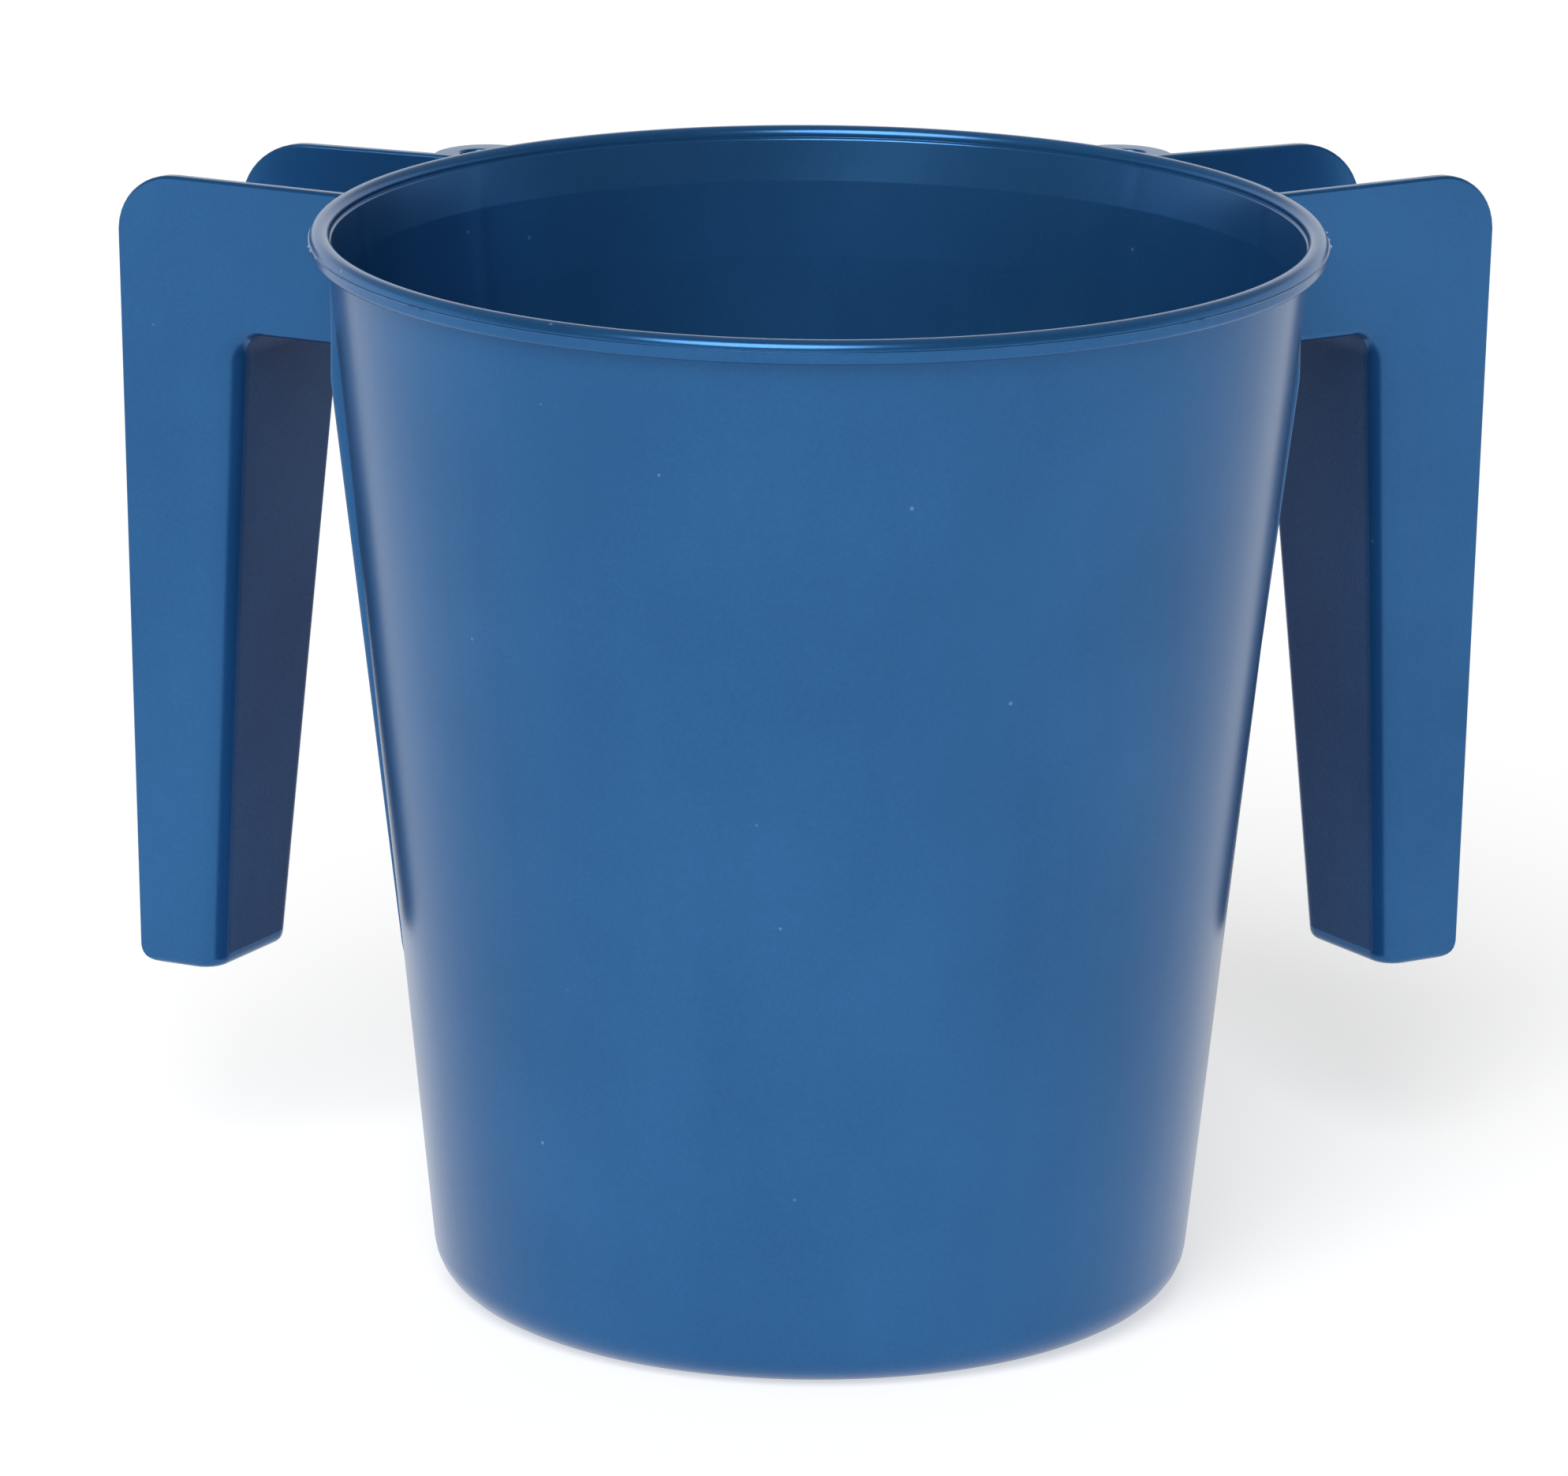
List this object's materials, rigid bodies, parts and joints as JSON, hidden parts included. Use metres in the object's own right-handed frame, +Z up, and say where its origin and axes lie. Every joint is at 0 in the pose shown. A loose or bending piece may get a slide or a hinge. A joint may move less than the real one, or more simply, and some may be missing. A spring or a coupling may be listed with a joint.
{
  "type": "two-handled pouring bucket",
  "caption": "Small round tapered plastic bucket with a beaded rim, open channel grips hanging down on both sides and hanging ears with holes behind the rim.",
  "frame": {"origin": "centre of the flat underside of the base, on the bowl's axis", "axes": "+Z up along the bowl's axis, +X towards the right handle, +Y towards the back, where the handles sweep and the hanging tabs are"},
  "size_m": [0.1802, 0.1292, 0.139],
  "materials": {
    "blue_plastic": "satin moulded blue, slightly mottled"
  },
  "bodies": {
    "root": {"bucket_base": "blue_plastic", "bucket_wall": "blue_plastic", "rim_bead": "blue_plastic", "right_front_cheek": "blue_plastic", "right_rear_cheek": "blue_plastic", "right_grip_web": "blue_plastic", "right_gap_panel": "blue_plastic", "right_hanging_tab": "blue_plastic", "left_front_cheek": "blue_plastic", "left_rear_cheek": "blue_plastic", "left_grip_web": "blue_plastic", "left_gap_panel": "blue_plastic", "left_hanging_tab": "blue_plastic"}
  },
  "joints": []
}
